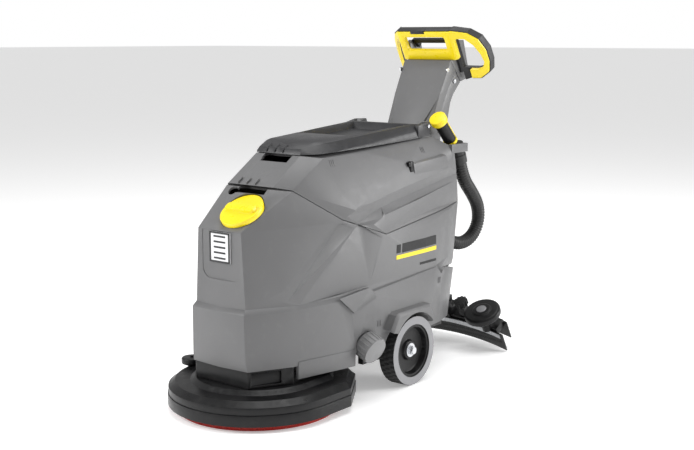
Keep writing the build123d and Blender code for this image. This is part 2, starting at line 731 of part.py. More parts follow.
def control_panel():
    place = panel_plane().offset(0.2)
    plate = extrude(place * RectangleRounded(148, 60, 6), amount=3)
    lens = extrude(place.offset(3) * Pos(54, 0) * RectangleRounded(30, 40, 3), amount=1.6)
    plate -= extrude(place.offset(-2) * Pos(-36, 0) * Circle(4 + FIT), amount=8)
    plate -= extrude(place.offset(-2) * Pos(20, 0) * Circle(9.3), amount=8)
    return plate + lens


def panel_controls():
    place = panel_plane().offset(3.6)
    knob = extrude(place * Pos(-36, 0) * Circle(19), amount=12)
    knob += extrude(place.offset(12) * Pos(-36, 0) * Rectangle(8, 34), amount=6)
    knob += extrude(place.offset(-8) * Pos(-36, 0) * Circle(4), amount=8)
    button = extrude(place.offset(-6) * Pos(20, 0) * Circle(9), amount=12)
    return knob, button


def switch_lever():
    """Bail behind the window; squeezing it toward the bar starts the brush."""
    bar = hull_at([on_ring(u, v, w) for u in (-74, 74) for v in (-54, -42) for w in (20, 32)])
    arm = ((-44, 20), (-44, 32), (-70, 46), (-76, 34))
    for side in (1, -1):
        bar += hull_at([on_ring(side * u, v, w) for u in (62, 74) for v, w in arm])
        bar += rod(on_ring(side * 62, *BAIL_PIVOT), on_ring(side * 81, *BAIL_PIVOT), 4)
    return bar


def column_screws():
    heads = []
    for y, z in ((359, 881), (398, 846)):
        for side in (1, -1):
            heads.append(rod((side * (COLUMN_HALF + 0.1), y, z), (side * (COLUMN_HALF + 3), y, z), 6.5))
    return heads


# ---- drain hose at the right rear ----
HOSE_ROUTE = [
    (130, 368, 600), (130, 387, 549), (129, 437, 504), (126, 484, 455), (121, 497, 402), (115, 472, 356),
    (108, 424, 338), (100, 376, 346), (92, 345, 376), (88, 333, 416), (88, 333, 458),
]


def arc_radii(points):
    radii = []
    for before, at, after in zip(points, points[1:], points[2:]):
        a, b = Vector(*at) - Vector(*before), Vector(*after) - Vector(*at)
        half = math.radians(a.get_angle(b)) / 2
        radii.append(0.45 * min(a.length, b.length) / math.tan(half))
    return radii


def drain_hose():
    radii = arc_radii(HOSE_ROUTE)
    print("hose bend radii:", [round(r) for r in radii])
    line = FilletPolyline(*HOSE_ROUTE, radius=radii)
    start = Plane(origin=HOSE_ROUTE[0], z_dir=line % 0)
    tube = sweep(start * Circle(HOSE_R), path=line)
    ratio = tube.volume / (math.pi * HOSE_R**2 * line.length)
    print("hose length:", round(line.length), "volume ratio:", round(ratio, 4))
    return tube


def hose_cuffs():
    top = rod(cuff_at(0), cuff_at(65.9), 21.9) + rod(cuff_at(38), cuff_at(64), 24)
    low = rod((88, 333, 458.2), (88, 333, 480), 23)
    return [top, low]


def outlet_boss():
    """Part of the upper tank: the elbow from its rear wall down to the hose."""
    return rod((88, 333, 480.2), (88, 333, 530), 18) + rod((88, 296, 510), (88, 333, 510), 15)


def drain_nozzle():
    return ring(nozzle_at(0), nozzle_at(92), 19, 15)


def drain_cap():
    top = rod(nozzle_at(92.2), nozzle_at(112), 26)
    return top + rod(nozzle_at(84), nozzle_at(92.2), 14.9)


def cap_strap():
    """Collar low on the nozzle and the strap that keeps the cap from getting lost."""
    collar = ring(nozzle_at(6), nozzle_at(14), 22, 19.1)
    back = Vector(0, -NOZZLE_AXIS.Z, NOZZLE_AXIS.Y)
    corners = []
    for distance in (7, 84):
        for reach in (21, 24):
            at = Vector(*nozzle_at(distance)) + back * reach
            corners += [(at.X - 6, at.Y, at.Z), (at.X + 6, at.Y, at.Z)]
    return collar + hull_at(corners)


# ---- squeegee, drawn lowered and then parked ----
def park(solid):
    """Turn the squeegee from its working place to its parked angle about the lifting pivot."""
    return Pos(0, PIVOT_Y, PIVOT_Z) * Rot(SQUEEGEE_TILT, 0, 0) * Pos(0, -PIVOT_Y, -PIVOT_Z) * solid


ARC_SAG = 38.0
ARC_R = (SQUEEGEE_HALF**2 + ARC_SAG**2) / (2 * ARC_SAG)
ARC_MIDDLE_Y = 430.0
PORT_Y = 458.5


def arc_strip(y_front, depth, low, high, half):
    """A strip that follows the squeegee's curve; y_front is its front face at the middle."""
    centre = ARC_MIDDLE_Y - ARC_R
    outer = Pos(0, centre) * Circle(ARC_R + y_front + depth)
    inner = Pos(0, centre) * Circle(ARC_R + y_front)
    window = Pos(0, ARC_MIDDLE_Y + y_front) * Rectangle(2 * half, 300)
    return flat((outer - inner) & window, low, high)


def squeegee_body():
    body = arc_strip(5.2, 46, 52, 74, 226)
    body += block(-42, 42, ARC_MIDDLE_Y - 8, ARC_MIDDLE_Y + 52, 74, 96)
    body += rod((-51.6, PIVOT_Y, PIVOT_Z), (51.6, PIVOT_Y, PIVOT_Z), 11)
    for side in (1, -1):
        x0, x1 = sorted((side * 26, side * 42))
        body += slab([(414, 90), (414, 154), (438, 154), (452, 90)], x0, x1)
        body += hull_at([
            (side * x, y, z) for x, y in ((72, 438), (98, 434), (98, 460), (72, 464)) for z in (70, 112)
        ])
        body += rod((side * 190, 409, 64.4), (side * 190, 409, 118.6), 16)
        body += rod((side * 190, 409, 118.6), (side * 190, 409, 148), 6)
        body += rod((side * 40, PIVOT_Y, PIVOT_Z), (side * 66, PIVOT_Y, PIVOT_Z), 6)
    return body - rod((0, PORT_Y, 40), (0, PORT_Y, 120), 19)


def suction_port():
    return ring((0, PORT_Y, 52), (0, PORT_Y, 128), 18.9, 15.5)


def roller(side):
    outline = [(52, 119), (58, 124), (58, 139), (52, 144), (30, 144), (28, 147)]
    return Pos(side * 190, 409, 0) * turned([(6 + FIT, 119)] + outline + [(6 + FIT, 147)])


def star_knob(side):
    knob = Pos(side * 85, 449, 0) * (Pos(0, 0, 122) * Cylinder(19, 19))
    for turn in range(10):
        at = math.radians(turn * 36)
        knob += Pos(side * 85 + 19 * math.cos(at), 449 + 19 * math.sin(at), 122) * Cylinder(3, 19)
    return knob


def lift_lever():
    """Foot pedal at the back that lowers and parks the squeegee."""
    arm = rod((-32, *LEVER_AT), (-8, *LEVER_AT), 10)
    arm += slab([(364, 159), (364, 174), (470, 232), (476, 222)], -26, -14)
    arm -= rod((-40, *LEVER_AT), (0, *LEVER_AT), 5 + FIT)
    pedal = slab([(462, 222), (458, 232), (506, 252), (510, 242)], -44, 4)
    return arm + pedal


def accessory_rail(side):
    points = []
    for y, z in ((62, 628), (228, 640), (240, 606), (70, 596)):
        points += [(side * 160, y, z), (side * 174, y, z - 4)]
    return hull_at(points) - hull(UPPER)


def badge_plate():
    return block(-32, 39, -548.5, -544.7, 412, 491)


def filler_cap():
    place = filler_place()
    cap = extrude(place.offset(-7.6) * Circle(FILLER_R), amount=14)
    cap += extrude(place.offset(6) * RectangleRounded(98, 24, 8), amount=10)
    return cap + extrude(place.offset(-30) * Circle(41.6), amount=24)


def filler_strainer():
    """Basket that hangs in the filler neck."""
    place = filler_place()
    basket = extrude(place.offset(-74) * Circle(37), amount=42)
    basket -= extrude(place.offset(-72) * Circle(35.4), amount=60)
    slots = [Rot(0, 0, turn * 45) * Pos(20, 0) * SlotOverall(22, 5) for turn in range(8)]
    for sketch in slots:
        basket -= extrude(place.offset(-80) * sketch, amount=20)
    return basket + extrude(place.offset(-34) * (Circle(41.6) - Circle(35.4)), amount=2)


def float_parts():
    cage = Pos(-50, 60, 0) * turned([(24, 560), (30, 560), (30, 650), (24, 650)])
    cage += Pos(-50, 60, 652) * (Cylinder(34, 4) - Cylinder(15, 10))
    for turn in (45, 135):
        cage -= Pos(-50, 60, 600) * Rot(0, 0, turn) * Box(80, 14, 60)
    cage += Pos(-50, 60, 562) * Cylinder(29, 4)
    return cage, Pos(-50, 60, 588) * Sphere(22)


def tank_hinge_pins():
    pins = []
    for side in (1, -1):
        start, end = (side * 124, TANK_PIVOT_Y, TANK_PIVOT_Z), (side * 150, TANK_PIVOT_Y, TANK_PIVOT_Z)
        pins.append(rod(start, end, 5))
    return pins


def build():
    save("chassis_frame", chassis_frame())
    save("fresh_tank", fresh_tank())
    save("recovery_tank", recovery_tank())
    save("tank_lid", tank_lid())
    save("lid_pins", lid_pin(1), lid_pin(-1))
    save("splash_skirt", splash_skirt())
    save("brush_deck", brush_deck())
    save("deck_turret", deck_turret())
    motor, gearbox = brush_drive()
    save("brush_motor", motor)
    save("motor_gearbox", gearbox)
    for name, solid in zip(("drive_hub", "pad_driver", "cleaning_pad", "pad_lock"), brush_parts()):
        save(name, solid)
    save("deck_roller", deck_roller())
    save("axle", axle())
    for name, side in (("right", 1), ("left", -1)):
        rim, tyre = wheel(side)
        save(f"{name}_rim", rim)
        save(f"{name}_tyre", tyre)
    save("wheel_bolts", wheel_bolt(1), wheel_bolt(-1))
    save("batteries", *batteries())
    save("battery_leads", *battery_leads())
    save("suction_turbine", suction_turbine())
    save("fan_impeller", fan_impeller())
    save("water_feed", *water_feed())
    save("filter_knob", filter_knob())
    front, rear = column()
    save("column_front_shell", front)
    save("column_rear_shell", rear)
    save("column_post", column_post())
    save("column_screws", *column_screws())
    save("handle_head", handle_head())
    save("handle_ring", handle_ring())
    save("handle_grip", handle_grip())
    save("control_panel", control_panel())
    knob, button = panel_controls()
    save("rotary_switch", knob)
    save("push_button", button)
    save("switch_lever", switch_lever())
    save("drain_hose", drain_hose())
    save("hose_cuffs", *hose_cuffs())
    save("drain_nozzle", drain_nozzle())
    save("drain_cap", drain_cap())
    save("cap_strap", cap_strap())
    save("squeegee_body", park(squeegee_body()))
    save("suction_port", park(suction_port()))
    save("front_blade", park(arc_strip(0, 4, 0.6, 64, SQUEEGEE_HALF)))
    save("rear_blade", park(arc_strip(52, 4, 0.6, 64, 236)))
    save("blade_clamps", park(arc_strip(-2.2, 2, 46, 62, 240)), park(arc_strip(56.2, 2, 46, 62, 226)))
    for name, side in (("right", 1), ("left", -1)):
        save(f"{name}_roller", park(roller(side)))
        save(f"{name}_star_knob", park(star_knob(side)))
    save("lift_lever", lift_lever())
    save("accessory_rails", accessory_rail(1), accessory_rail(-1))
    save("badge_plate", badge_plate())
    save("filler_cap", filler_cap())
    save("filler_strainer", filler_strainer())
    cage, ball = float_parts()
    save("float_cage", cage)
    save("float_ball", ball)
    save("tank_hinge_pins", *tank_hinge_pins())


build()
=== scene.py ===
# %% [markdown]
# # A walk-behind floor scrubber
# The measured model of the machine is already packed, so every piece here takes its place from it.
# It is two gray moulded tanks on a round brush deck, with a handle for the operator behind them.
# The finished looks have to stay inside it.

# %% Load the measured machine
import json
import math

import bmesh
import bpy
from mathutils import Matrix, Vector
from mathutils.bvhtree import BVHTree


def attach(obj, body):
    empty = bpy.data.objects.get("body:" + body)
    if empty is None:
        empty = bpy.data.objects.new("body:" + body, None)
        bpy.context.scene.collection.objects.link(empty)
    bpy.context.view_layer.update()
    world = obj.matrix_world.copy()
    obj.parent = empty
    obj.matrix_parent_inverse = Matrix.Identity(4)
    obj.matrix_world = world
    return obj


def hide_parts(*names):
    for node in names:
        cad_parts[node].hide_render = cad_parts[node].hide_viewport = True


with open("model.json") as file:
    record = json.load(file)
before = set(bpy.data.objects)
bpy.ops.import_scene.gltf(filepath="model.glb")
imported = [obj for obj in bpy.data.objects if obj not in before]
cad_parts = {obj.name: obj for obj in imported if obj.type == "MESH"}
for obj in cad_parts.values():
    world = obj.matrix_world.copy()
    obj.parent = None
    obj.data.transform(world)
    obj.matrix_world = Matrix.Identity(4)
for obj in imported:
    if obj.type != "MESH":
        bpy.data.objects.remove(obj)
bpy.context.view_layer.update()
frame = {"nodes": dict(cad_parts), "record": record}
nodes = frame["nodes"]

# %% [markdown]
# ## The camera
# The machine is seen from its front right corner, a little above the tanks. The camera could be set by
# eye, but a solved place and lens repeat the same view each time, so plain numbers are used.

# %% Place the camera
CAMERA_AT = Vector((2.056, -2.55115, 0.9785))
TURN, TILT = math.radians(38.59), math.radians(9.24)
LENS = 59.72

camera = bpy.data.objects.new("camera", bpy.data.cameras.new("camera"))
bpy.context.scene.collection.objects.link(camera)
look = Vector((-math.sin(TURN) * math.cos(TILT), math.cos(TURN) * math.cos(TILT), -math.sin(TILT)))
camera.location = CAMERA_AT
camera.rotation_euler = look.to_track_quat("-Z", "Y").to_euler()
camera.data.lens = LENS
bpy.context.scene.camera = camera
print("camera looks along", [round(v, 3) for v in look])

# %% [markdown]
# ## The drain hose
# Dirty water runs out through a ribbed hose that hangs in a loop behind the tank. A plain bent tube would
# miss its ribs, so a smooth line is laid first and a wall that swells and narrows is built round it.

# %% Lay the line of the hose
HOSE_D = 0.042
HOSE_ROUTE = [
    (0.130, 0.4172, 0.600), (0.130, 0.4362, 0.549), (0.129, 0.4862, 0.504), (0.126, 0.5332, 0.455),
    (0.121, 0.5462, 0.402), (0.115, 0.5212, 0.356), (0.108, 0.4732, 0.338), (0.100, 0.4252, 0.346),
    (0.092, 0.3942, 0.376), (0.088, 0.3822, 0.416), (0.088, 0.3822, 0.458),
]


def smooth_line(route):
    """Points along one smooth line that is pulled by the route's points."""
    data = bpy.data.curves.new("line", "CURVE")
    data.dimensions = "3D"
    data.resolution_u = 24
    spline = data.splines.new("NURBS")
    spline.points.add(len(route) - 1)
    for point, at in zip(spline.points, route):
        point.co = (*at, 1)
    spline.order_u = 3
    spline.use_endpoint_u = True
    holder = bpy.data.objects.new("line", data)
    bpy.context.scene.collection.objects.link(holder)
    mesh = bpy.data.meshes.new_from_object(holder)
    found = [v.co.copy() for v in mesh.vertices]
    bpy.data.objects.remove(holder)
    bpy.data.meshes.remove(mesh)
    return found


hose_line = smooth_line(HOSE_ROUTE)
hose_run = sum((b - a).length for a, b in zip(hose_line, hose_line[1:]))
print("hose line:", len(hose_line), "points,", round(hose_run, 3), "m")

# %% [markdown]
# The hose is a thin wall pressed into even ribs, so that it bends without closing. Many small rings could
# be threaded on a tube, but one wall whose radius rises and falls along the line has no hidden faces.

# %% Build the ribbed wall of the hose
RIB_WAVE = (0, 0.35, 1, 0.35)  # how deep the wall lies at four places along a rib
RIB_PITCH = 0.0085
RIB_DEPTH = 0.0028
RING_CORNERS = 28


def spaced(line, step):
    """The line again, with its points this far apart, and the direction at each."""
    out, carry = [], 0.0
    for a, b in zip(line, line[1:]):
        run = (b - a).length
        while carry <= run:
            out.append((a.lerp(b, carry / run), (b - a).normalized()))
            carry += step
        carry -= run
    out.append((line[-1], (line[-1] - line[-2]).normalized()))
    return out


def ribbed_hose(name, line):
    shape = bmesh.new()
    rings, side = [], Vector((1, 0, 0))
    for index, (at, along) in enumerate(spaced(line, RIB_PITCH / len(RIB_WAVE))):
        side = (side - along * side.dot(along)).normalized()
        up = along.cross(side)
        radius = HOSE_D / 2 - RIB_DEPTH * RIB_WAVE[index % len(RIB_WAVE)]
        angles = [2 * math.pi * k / RING_CORNERS for k in range(RING_CORNERS)]
        rings.append([shape.verts.new(at + (side * math.cos(t) + up * math.sin(t)) * radius) for t in angles])
    for low, high in zip(rings, rings[1:]):
        for k in range(RING_CORNERS):
            j = (k + 1) % RING_CORNERS
            shape.faces.new((low[k], low[j], high[j], high[k]))
    shape.faces.new(reversed(rings[0]))
    shape.faces.new(rings[-1])
    bmesh.ops.recalc_face_normals(shape, faces=shape.faces)
    mesh = bpy.data.meshes.new(name)
    shape.to_mesh(mesh)
    shape.free()
    piece = bpy.data.objects.new(name, mesh)
    bpy.context.scene.collection.objects.link(piece)
    mesh.shade_smooth()
    return piece


hose = ribbed_hose("ribbed_hose", hose_line)
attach(hose, "dirty_tank")
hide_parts("drain_hose")
print("hose:", len(hose.data.polygons), "faces")

# %% [markdown]
# ## One group for everything that is moulded
# Moulded plastic is never one flat colour. It has a fine grain, soft clouds of colour, pale rubbed spots
# and a little dust near the floor. Each material could repeat this, but one shared group is easier to
# keep true, and every material gives it its own colour, grain and wear. Small helpers place the nodes
# first, because the same few kinds of node are needed again and again.

# %% Helpers for shader nodes
def wired(tree, kind, **inputs):
    """A new node whose named inputs are values or other nodes' outputs."""
    node = tree.nodes.new(kind)
    for name, value in inputs.items():
        numbered = name[0] == "i" and name[1:].isdigit()  # i0 is the first input, i1 the second
        socket = node.inputs[int(name[1:])] if numbered else node.inputs[name]
        if isinstance(value, bpy.types.NodeSocket):
            tree.links.new(value, socket)
        else:
            socket.default_value = value
    return node


def math_node(tree, operation, a, b=0.0):
    node = wired(tree, "ShaderNodeMath", i0=a, i1=b)
    node.operation = operation
    return node.outputs[0]


def mapped(tree, value, low, high, to_low, to_high):
    node = wired(tree, "ShaderNodeMapRange", i0=value, i1=low, i2=high, i3=to_low, i4=to_high)
    return node.outputs[0]


def blended(tree, share, a, b, way="MIX"):
    node = tree.nodes.new("ShaderNodeMix")
    node.data_type = "RGBA"
    node.blend_type = way
    for socket, value in ((node.inputs[0], share), (node.inputs[6], a), (node.inputs[7], b)):
        if isinstance(value, bpy.types.NodeSocket):
            tree.links.new(value, socket)
        else:
            socket.default_value = value
    return node.outputs[2]


def noise(tree, at, scale, detail=3.0):
    node = wired(tree, "ShaderNodeTexNoise", Vector=at, Scale=scale, Detail=detail)
    return node.outputs["Fac"]


# %% [markdown]
# The group's inputs are what differs from plastic to plastic. It puts out only what changes over the
# surface: a colour, a roughness and a height. The shader itself stays in each material.

# %% Build the moulded surface group
CLOUD_SCALE, SCUFF_SCALE = 7.0, 46.0
RUBBED, DUSTY = (0.42, 0.42, 0.42, 1), (0.36, 0.34, 0.31, 1)
DUST_TOP, DUST_FLOOR = 0.32, 0.03  # heights between which the dust thickens


def moulded_group():
    tree = bpy.data.node_groups.new("moulded_surface", "ShaderNodeTree")
    face = tree.interface
    face.new_socket("Colour", in_out="INPUT", socket_type="NodeSocketColor")
    for name in ("Roughness", "Grain Scale", "Grain", "Wear", "Dust"):
        face.new_socket(name, in_out="INPUT", socket_type="NodeSocketFloat")
    face.new_socket("Colour", in_out="OUTPUT", socket_type="NodeSocketColor")
    face.new_socket("Roughness", in_out="OUTPUT", socket_type="NodeSocketFloat")
    face.new_socket("Height", in_out="OUTPUT", socket_type="NodeSocketFloat")
    start, end = tree.nodes.new("NodeGroupInput"), tree.nodes.new("NodeGroupOutput")
    at = tree.nodes.new("ShaderNodeTexCoord").outputs["Object"]
    parts = wired(tree, "ShaderNodeSeparateXYZ", i0=at)

    grain = noise(tree, at, start.outputs["Grain Scale"], 2.0)
    clouds = noise(tree, at, CLOUD_SCALE, 4.0)
    scuffs = noise(tree, at, SCUFF_SCALE, 6.0)
    tone = mapped(tree, clouds, 0.3, 0.7, 0.97, 1.03)
    colour = blended(tree, 1.0, start.outputs["Colour"], tone, "MULTIPLY")
    rub = math_node(tree, "MULTIPLY", mapped(tree, scuffs, 0.58, 0.75, 0.0, 0.16), start.outputs["Wear"])
    colour = blended(tree, rub, colour, RUBBED)
    low = mapped(tree, parts.outputs["Z"], DUST_TOP, DUST_FLOOR, 0.0, 1.0)
    dust = math_node(tree, "MULTIPLY", low, mapped(tree, scuffs, 0.45, 0.75, 0.0, 0.22))
    dust = math_node(tree, "MULTIPLY", dust, start.outputs["Dust"])
    colour = blended(tree, dust, colour, DUSTY)
    rough = math_node(tree, "ADD", start.outputs["Roughness"], mapped(tree, scuffs, 0.3, 0.7, -0.05, 0.07))
    rough = math_node(tree, "ADD", rough, math_node(tree, "MULTIPLY", dust, 0.3))
    tree.links.new(colour, end.inputs["Colour"])
    tree.links.new(rough, end.inputs["Roughness"])
    tree.links.new(math_node(tree, "MULTIPLY", grain, start.outputs["Grain"]), end.inputs["Height"])
    return tree


moulded = moulded_group()
print("moulded surface:", len(moulded.nodes), "nodes")

# %% [markdown]
# ## The finishes
# One finish per kind of surface: gray tank plastic, the darker lid, black plastic, yellow plastic, soft
# rubber, tyre, scouring pad, painted and plated steel, battery case and the pale badge.

# %% Mix the finishes
def finish(name, colour, roughness, grain_scale=700.0, grain=1.0, wear=0.2, dust=0.2, bump=0.0004, **shader):
    material = bpy.data.materials.new(name)
    material.use_nodes = True
    tree = material.node_tree
    surface = tree.nodes["Principled BSDF"]
    group = tree.nodes.new("ShaderNodeGroup")
    group.node_tree = moulded
    values = {"Colour": (*colour, 1), "Roughness": roughness, "Grain Scale": grain_scale, "Grain": grain,
              "Wear": wear, "Dust": dust}
    for key, value in values.items():
        group.inputs[key].default_value = value
    tree.links.new(group.outputs["Colour"], surface.inputs["Base Color"])
    tree.links.new(group.outputs["Roughness"], surface.inputs["Roughness"])
    relief = wired(tree, "ShaderNodeBump", Height=group.outputs["Height"], Distance=bump, Strength=0.6)
    tree.links.new(relief.outputs[0], surface.inputs["Normal"])
    for key, value in shader.items():
        surface.inputs[key.replace("_", " ")].default_value = value
    return material


FINISHES = {
    "gray_shell": finish("gray_shell", (0.128, 0.128, 0.130), 0.40, 620, wear=0.2, dust=0.1),
    "dark_shell": finish("dark_shell", (0.026, 0.026, 0.028), 0.36, 620, wear=0.15, dust=0.0,
                         Specular_IOR_Level=0.35),
    "black_plastic": finish("black_plastic", (0.006, 0.006, 0.0065), 0.32, 500, wear=0.05, dust=0.05,
                            Specular_IOR_Level=0.28),
    "yellow_plastic": finish("yellow_plastic", (0.86, 0.66, 0.006), 0.30, 900, grain=0.5, wear=0.06,
                             dust=0.05),
    "soft_grip": finish("soft_grip", (0.012, 0.012, 0.013), 0.5, 420, grain=1.6, wear=0.1),
    "rubber": finish("rubber", (0.010, 0.010, 0.010), 0.48, 380, grain=1.2, wear=0.05, dust=0.1),
    # The tread colour is near black: dust, and painted shade on rubber that is gray all over.
    "tyre": finish("tyre", (0.014, 0.014, 0.014), 0.68, 300, grain=1.4, wear=0.05, dust=0.1),
    "tyre_side": finish("tyre_side", (0.25, 0.25, 0.26), 0.55, 420, wear=0.1, dust=0.1),
    "red_pad": finish("red_pad", (0.42, 0.022, 0.016), 0.95, 260, grain=4.0, wear=0.0, dust=0.5, bump=0.002),
    "painted_steel": finish("painted_steel", (0.020, 0.020, 0.021), 0.45, 900, wear=0.4),
    "bright_steel": finish("bright_steel", (0.62, 0.63, 0.65), 0.28, 1100, grain=0.4, wear=0.1, Metallic=1.0),
    "battery_case": finish("battery_case", (0.045, 0.046, 0.05), 0.5, 500, wear=0.2),
    "badge": finish("badge", (0.74, 0.74, 0.75), 0.3, 1000, grain=0.3, wear=0.0, dust=0.0),
    "gray_knob": finish("gray_knob", (0.20, 0.20, 0.203), 0.40, 620, wear=0.2, dust=0.1),
}


def paint(piece, name):
    piece.data.materials.clear()
    piece.data.materials.append(FINISHES[name])


for row in frame["record"]["subparts"]:
    paint(nodes[row["node"]], row["material_slot"])
paint(hose, "rubber")
print("finishes:", len(FINISHES))

# %% [markdown]
# ## Softened shells
# A moulded part has no knife edges. The measured shells do, so each is copied, its loose triangles are
# merged into whole faces, and its edges are rounded with the Bevel modifier, as a mould maker would.

# %% Round the edges of the moulded parts
BODY_OF = {node: body for body, members in frame["record"]["behaviour"]["bodies"].items() for node in members}
SLOT_OF = {row["node"]: row["material_slot"] for row in frame["record"]["subparts"]}
ROUND_SEGMENTS = 2
SHARP = 24  # an edge is rounded when its faces turn by more degrees than this
SMOOTH_TO = 32


def alone(piece):
    """Select this piece and nothing else."""
    bpy.ops.object.select_all(action="DESELECT")
    piece.select_set(True)
    bpy.context.view_layer.objects.active = piece


def softened(node, radius):
    source = nodes[node]
    piece = bpy.data.objects.new(node + "_skin", source.data.copy())
    bpy.context.scene.collection.objects.link(piece)
    alone(piece)
    bpy.ops.object.mode_set(mode="EDIT")
    bpy.ops.mesh.select_all(action="SELECT")
    bpy.ops.mesh.remove_doubles(threshold=0.00002)
    bpy.ops.mesh.dissolve_limited(angle_limit=math.radians(1.0))
    bpy.ops.object.mode_set(mode="OBJECT")
    edge = piece.modifiers.new("rounding", "BEVEL")
    edge.width = radius
    edge.segments = ROUND_SEGMENTS
    edge.limit_method = "ANGLE"
    edge.angle_limit = math.radians(SHARP)
    edge.use_clamp_overlap = True
    edge.harden_normals = False
    bpy.ops.object.modifier_apply(modifier=edge.name)
    bpy.ops.object.shade_smooth_by_angle(angle=math.radians(SMOOTH_TO))
    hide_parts(node)
    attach(piece, BODY_OF[node])
    print(piece.name, len(piece.data.polygons), "faces")
    return piece


SOFT_EDGES = {
    "fresh_tank": 0.004, "recovery_tank": 0.004, "tank_lid": 0.004, "column_front_shell": 0.003,
    "column_rear_shell": 0.003, "handle_head": 0.002, "handle_ring": 0.0025, "handle_grip": 0.004,
    "filler_cap": 0.002, "filter_knob": 0.0012, "drain_cap": 0.002,
    "right_roller": 0.002, "left_roller": 0.002,
    "deck_roller": 0.002, "right_star_knob": 0.001, "left_star_knob": 0.001, "lift_lever": 0.002,
    "squeegee_body": 0.002, "accessory_rails": 0.0015, "brush_deck": 0.003, "splash_skirt": 0.001,
    "deck_turret": 0.002, "right_rim": 0.0012, "left_rim": 0.0012,
}
skins = {node: softened(node, radius) for node, radius in SOFT_EDGES.items()}

# %% [markdown]
# ## Bench tools
# The new pieces all begin as a primitive, so the steps around that are written once: put it down alone,
# pick faces by their place, give it its finish and the body it moves with, and join what belongs together.

# %% Helpers that put a primitive down and pick its faces
def begin(name, add, **how):
    bpy.ops.object.select_all(action="DESELECT")
    add(**how)
    piece = bpy.context.object
    piece.name = piece.data.name = name
    bpy.ops.object.transform_apply(location=True, rotation=True, scale=True)
    return piece


def pick(piece, chosen):
    """In edit mode, select only the faces for which chosen(face) is true."""
    shape = bmesh.from_edit_mesh(piece.data)
    for item in (*shape.verts, *shape.edges, *shape.faces):
        item.select = False
    for face in shape.faces:
        if chosen(face):
            face.select_set(True)
    bmesh.update_edit_mesh(piece.data)


def placed(piece, node, slot, replaces=False):
    paint(piece, slot)
    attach(piece, BODY_OF[node])
    if replaces:
        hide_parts(node)
    return piece


def joined(name, pieces):
    bpy.ops.object.select_all(action="DESELECT")
    for piece in pieces:
        piece.select_set(True)
    bpy.context.view_layer.objects.active = pieces[0]
    bpy.ops.object.join()
    pieces[0].name = pieces[0].data.name = name
    return pieces[0]


# %% [markdown]
# ## Tyres
# The tyres have a blocky tread and a pale gray sidewall. The rubber is gray all over, and the tread is
# coloured near black as painted shade and dust. A bump pattern would leave the outline smooth, so each starts
# as a disc whose faces are inset, bridged into a ring and pressed in as pockets.

# %% Shape the two tyres
TYRE_R, TYRE_W, TYRE_WALL = 0.100, 0.050, 0.025
WHEEL_AT = Vector((0.200, 0.0492, 0.100))
BLOCKS = 40
SHOULDER = 0.003  # a narrow ring round the edge of the sidewall
TREAD_CUT = 0.008  # the tread has three bands, parted this far from the middle
TREAD_LOW = 0.09  # anything nearer the axle than this is not tread
POCKET_WALL, POCKET_DEPTH = 0.0011, 0.0026


def treaded_tyre(name, node, side):
    at = Vector((side * WHEEL_AT.x, WHEEL_AT.y, WHEEL_AT.z))
    tyre = begin(name, bpy.ops.mesh.primitive_cylinder_add, vertices=BLOCKS * 2, radius=TYRE_R, depth=TYRE_W,
                 location=at, rotation=(0, math.pi / 2, 0))
    bpy.ops.object.mode_set(mode="EDIT")
    bpy.ops.mesh.select_mode(type="FACE")
    for cut in (-TREAD_CUT, TREAD_CUT):
        bpy.ops.mesh.select_all(action="SELECT")
        bpy.ops.mesh.bisect(plane_co=at + Vector((cut, 0, 0)), plane_no=(1, 0, 0))
    pick(tyre, lambda face: abs(face.normal.x) > 0.9)
    bpy.ops.mesh.inset(thickness=SHOULDER, depth=0)
    pick(tyre, lambda face: abs(face.normal.x) > 0.9 and len(face.verts) > 8)
    bpy.ops.mesh.inset(thickness=TYRE_WALL - SHOULDER, depth=0)
    pick(tyre, lambda face: abs(face.normal.x) > 0.9 and len(face.verts) > 8)
    bpy.ops.mesh.delete(type="ONLY_FACE")
    shape = bmesh.from_edit_mesh(tyre.data)
    for edge in shape.edges:
        edge.select_set(edge.is_boundary)
    bmesh.update_edit_mesh(tyre.data)
    bpy.ops.mesh.select_mode(type="EDGE")
    bpy.ops.mesh.bridge_edge_loops()
    bpy.ops.mesh.select_mode(type="FACE")

    def pocket(face):
        middle = face.calc_center_median() - at
        if abs(face.normal.x) > 0.5 or math.hypot(middle.y, middle.z) < TREAD_LOW:
            return False
        turn = int(round(math.atan2(middle.z, middle.y) / math.pi * BLOCKS - 0.5))
        return (turn + (abs(middle.x) > TREAD_CUT)) % 2 == 0

    pick(tyre, pocket)
    bpy.ops.mesh.inset(thickness=POCKET_WALL, depth=-POCKET_DEPTH, use_individual=True)
    bpy.ops.mesh.select_all(action="SELECT")
    bpy.ops.mesh.normals_make_consistent(inside=False)
    bpy.ops.object.mode_set(mode="OBJECT")
    edge = tyre.modifiers.new("soft", "BEVEL")
    edge.width, edge.segments, edge.limit_method, edge.angle_limit = 0.0012, 1, "ANGLE", math.radians(60)
    bpy.ops.object.modifier_apply(modifier=edge.name)
    bpy.ops.object.shade_smooth_by_angle(angle=math.radians(35))
    # The tread gets the near-black tyre colour, painted shade and dust; the outer sidewall faces get the pale
    # gray.
    placed(tyre, node, "tyre", replaces=True)
    tyre.data.materials.append(FINISHES["tyre_side"])
    for face in tyre.data.polygons:
        if abs(face.normal.x) > 0.9 and abs(face.center.x - at.x) > TYRE_W / 2 - 0.002:
            face.material_index = 1
    print(name, len(tyre.data.polygons), "faces")


treaded_tyre("right_treaded_tyre", "right_tyre", 1)
treaded_tyre("left_treaded_tyre", "left_tyre", -1)

# %% [markdown]
# ## Marks on the sides
# Thin film bars lie on both flanks: a dark one over a yellow one, and a short dark one below. A flat sheet
# would float over the curved tank, so a fine grid is projected on to the tank and given a thickness.

# %% Lay the bars on the tank
FILM = 0.0005  # thickness of the film
BESIDE = 0.26  # a start just outside the tank, from where the film is pressed on
FILM_CUTS = 14


